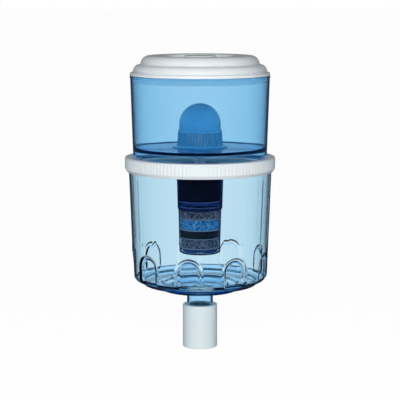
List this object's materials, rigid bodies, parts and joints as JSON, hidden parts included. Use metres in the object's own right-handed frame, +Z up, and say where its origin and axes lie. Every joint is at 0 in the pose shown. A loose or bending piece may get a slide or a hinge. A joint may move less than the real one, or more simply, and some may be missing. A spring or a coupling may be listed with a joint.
{
  "type": "gravity water filter bottle",
  "caption": "Two-stage gravity water filter bottle for the top of a dispenser: ceramic dome above, carbon and mineral cartridge below, spring valve in the outlet neck.",
  "frame": {"origin": "centre of the outlet sleeve's open bottom end, the lowest point", "axes": "+Z up along the bottle's axis; -Y is the front seen in the picture"},
  "size_m": [0.238, 0.238, 0.466],
  "materials": {
    "white_plastic": "soft gloss",
    "pale_blue_clear": "clear moulded plastic",
    "blue_clear": "clear moulded plastic",
    "deep_blue_clear": "clear moulded plastic",
    "blue_plastic": "satin",
    "ceramic": "matte porous",
    "black_carbon": "matte granules",
    "grey_mineral": "matte granules",
    "brown_mineral": "matte granules",
    "blue_balls": "matte balls",
    "felt": "felt",
    "rubber_seal": "matte silicone",
    "spring_steel": "drawn wire"
  },
  "bodies": {
    "reservoir": {"lower_tank": "pale_blue_clear", "outlet_sleeve": "white_plastic", "valve_body": "white_plastic", "neck_washer": "rubber_seal", "valve_cage": "white_plastic", "valve_spring": "spring_steel"},
    "valve": {"valve_plunger": "white_plastic", "valve_seal": "rubber_seal"},
    "ring": {"support_ring": "white_plastic"},
    "upper": {"upper_tank": "blue_clear", "ceramic_dome": "ceramic", "ceramic_base": "blue_plastic", "base_washer": "rubber_seal", "head_washer": "rubber_seal", "lock_nut": "blue_plastic"},
    "cover": {"dome_cover": "deep_blue_clear"},
    "lid": {"lid": "white_plastic"},
    "cartridge": {"cartridge_housing": "deep_blue_clear", "carbon_top_felt": "felt", "carbon_bed": "black_carbon", "carbon_bottom_felt": "felt", "carbon_grid": "blue_plastic"},
    "cup": {"mineral_cup": "deep_blue_clear", "cup_oring": "rubber_seal", "cup_grid": "blue_plastic", "mineral_sand": "grey_mineral", "mineral_sand_felt": "felt", "bio_balls": "blue_balls", "bio_balls_felt": "felt", "fine_carbon": "black_carbon", "fine_carbon_felt": "felt", "mineral_stones": "brown_mineral", "mineral_stones_felt": "felt", "bottom_grid": "blue_plastic"}
  },
  "joints": [
    {"name": "ring_lift", "type": "slide", "parent": "reservoir", "child": "ring", "axis": [0, 0, 1], "range_m": [0, 0.03]},
    {"name": "tank_lift", "type": "slide", "parent": "ring", "child": "upper", "axis": [0, 0, 1], "range_m": [0, 0.2]},
    {"name": "lid_lift", "type": "slide", "parent": "upper", "child": "lid", "axis": [0, 0, 1], "range_m": [0, 0.06]},
    {"name": "cover_lift", "type": "slide", "parent": "upper", "child": "cover", "axis": [0, 0, 1], "range_m": [0, 0.05]},
    {"name": "cartridge_pull", "type": "slide", "parent": "upper", "child": "cartridge", "axis": [0, 0, -1], "range_m": [0, 0.02]},
    {"name": "cup_pull", "type": "slide", "parent": "cartridge", "child": "cup", "axis": [0, 0, -1], "range_m": [0, 0.015]},
    {"name": "valve_push", "type": "slide", "parent": "reservoir", "child": "valve", "axis": [0, 0, 1], "range_m": [0, 0.008], "stiffness_N_per_m": 300, "springref_m": -0.01, "deforming": ["valve_spring"]}
  ]
}
